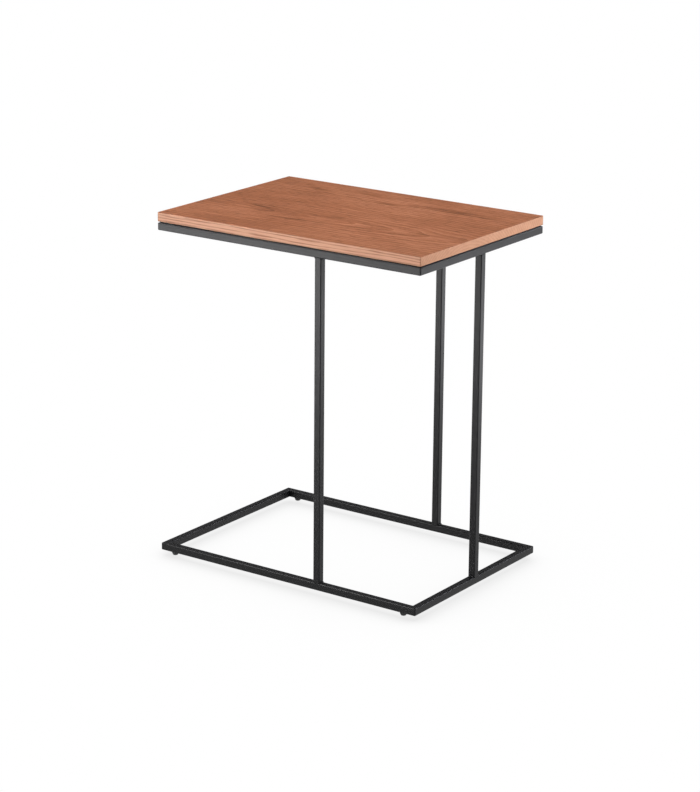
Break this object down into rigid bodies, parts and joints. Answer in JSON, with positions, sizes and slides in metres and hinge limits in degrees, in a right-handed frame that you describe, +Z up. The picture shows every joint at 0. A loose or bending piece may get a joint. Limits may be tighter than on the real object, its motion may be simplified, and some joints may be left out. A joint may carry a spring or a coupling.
{
  "type": "side table",
  "caption": "C-shaped side table: a rectangular wooden top on a welded square-tube frame, open at one end so its base slides under a sofa, on levelling feet.",
  "frame": {"origin": "on the floor, under the middle of the table top", "axes": "+Z up, +X along the length towards the closed end with the posts, -Y towards the front"},
  "size_m": [0.5, 0.35, 0.571],
  "materials": {
    "frame_steel": "satin black powder coat",
    "face_wood": "stained ash veneer, satin lacquer",
    "backing_wood": "sealed backing veneer",
    "edge_wood": "solid ash lipping, satin lacquer",
    "core_board": "raw fibreboard",
    "bedding_foam": "black closed-cell foam",
    "zinc_steel": "bright zinc plating",
    "glide_nylon": "moulded black nylon"
  },
  "bodies": {
    "frame": {"top_veneer": "face_wood", "top_backer": "backing_wood", "top_core": "core_board", "lipping_front": "edge_wood", "bedding_front": "bedding_foam", "upper_rail_front": "frame_steel", "base_rail_front": "frame_steel", "lipping_back": "edge_wood", "bedding_back": "bedding_foam", "upper_rail_back": "frame_steel", "base_rail_back": "frame_steel", "lipping_left": "edge_wood", "bedding_left": "bedding_foam", "upper_rail_left": "frame_steel", "base_rail_left": "frame_steel", "lipping_right": "edge_wood", "bedding_right": "bedding_foam", "upper_rail_right": "frame_steel", "base_rail_right": "frame_steel", "post_front": "frame_steel", "welds_front": "frame_steel", "post_back": "frame_steel", "welds_back": "frame_steel", "post_end": "frame_steel", "welds_end": "frame_steel", "gusset_front_left": "frame_steel", "top_screw_front_left": "zinc_steel", "foot_nut_front_left": "zinc_steel", "gusset_front_right": "frame_steel", "top_screw_front_right": "zinc_steel", "foot_nut_front_right": "zinc_steel", "gusset_back_right": "frame_steel", "top_screw_back_right": "zinc_steel", "foot_nut_back_right": "zinc_steel", "gusset_back_left": "frame_steel", "top_screw_back_left": "zinc_steel", "foot_nut_back_left": "zinc_steel"},
    "stud_front_left": {"glide_stud_front_left": "zinc_steel"},
    "foot_front_left": {"glide_head_front_left": "glide_nylon"},
    "stud_front_right": {"glide_stud_front_right": "zinc_steel"},
    "foot_front_right": {"glide_head_front_right": "glide_nylon"},
    "stud_back_right": {"glide_stud_back_right": "zinc_steel"},
    "foot_back_right": {"glide_head_back_right": "glide_nylon"},
    "stud_back_left": {"glide_stud_back_left": "zinc_steel"},
    "foot_back_left": {"glide_head_back_left": "glide_nylon"}
  },
  "joints": [
    {"name": "foot_travel_front_left", "type": "slide", "parent": "frame", "child": "stud_front_left", "axis": [0, 0, -1], "range_m": [0, 0.005]},
    {"name": "foot_turn_front_left", "type": "hinge", "parent": "stud_front_left", "child": "foot_front_left", "pos_m": [-0.225, -0.169, 0], "axis": [0, 0, -1], "range_deg": [0, 1800]},
    {"name": "foot_travel_front_right", "type": "slide", "parent": "frame", "child": "stud_front_right", "axis": [0, 0, -1], "range_m": [0, 0.005]},
    {"name": "foot_turn_front_right", "type": "hinge", "parent": "stud_front_right", "child": "foot_front_right", "pos_m": [0.225, -0.169, 0], "axis": [0, 0, -1], "range_deg": [0, 1800]},
    {"name": "foot_travel_back_right", "type": "slide", "parent": "frame", "child": "stud_back_right", "axis": [0, 0, -1], "range_m": [0, 0.005]},
    {"name": "foot_turn_back_right", "type": "hinge", "parent": "stud_back_right", "child": "foot_back_right", "pos_m": [0.225, 0.169, 0], "axis": [0, 0, -1], "range_deg": [0, 1800]},
    {"name": "foot_travel_back_left", "type": "slide", "parent": "frame", "child": "stud_back_left", "axis": [0, 0, -1], "range_m": [0, 0.005]},
    {"name": "foot_turn_back_left", "type": "hinge", "parent": "stud_back_left", "child": "foot_back_left", "pos_m": [-0.225, 0.169, 0], "axis": [0, 0, -1], "range_deg": [0, 1800]}
  ],
  "couplings": [
    {"joint": "foot_turn_front_left", "follows": "foot_travel_front_left", "rad_per_m": 6283.2},
    {"joint": "foot_turn_front_right", "follows": "foot_travel_front_right", "rad_per_m": 6283.2},
    {"joint": "foot_turn_back_right", "follows": "foot_travel_back_right", "rad_per_m": 6283.2},
    {"joint": "foot_turn_back_left", "follows": "foot_travel_back_left", "rad_per_m": 6283.2}
  ]
}
